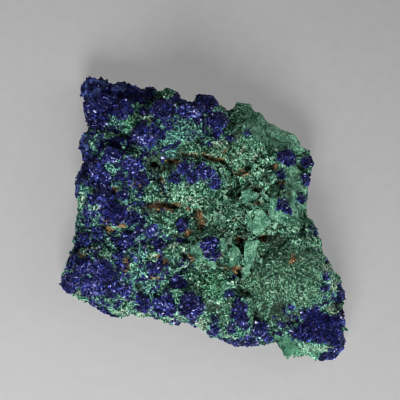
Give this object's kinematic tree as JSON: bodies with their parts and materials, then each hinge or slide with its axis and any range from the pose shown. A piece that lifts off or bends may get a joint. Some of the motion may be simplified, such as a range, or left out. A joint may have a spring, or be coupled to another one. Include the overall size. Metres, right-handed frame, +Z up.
{
  "type": "azurite mineral specimen",
  "caption": "Loose piece of ore: a knobbly malachite mound crusted with dark blue azurite crystal nodules, broken off flat underneath.",
  "frame": {"origin": "on the flat broken base that the piece rests on, under the middle of the mound", "axes": "+Z up from the resting face; +Y towards the low dark corner, the top of the face as it is looked down on; +X to the right of it, towards the smooth ridge"},
  "size_m": [0.0511, 0.0541, 0.0209],
  "materials": {
    "malachite": "fine-grained, matt to silky",
    "azurite": "small glassy crystals",
    "limonite": "earthy, matt"
  },
  "bodies": {
    "root": {"azurite_on_malachite": "malachite"}
  },
  "joints": []
}
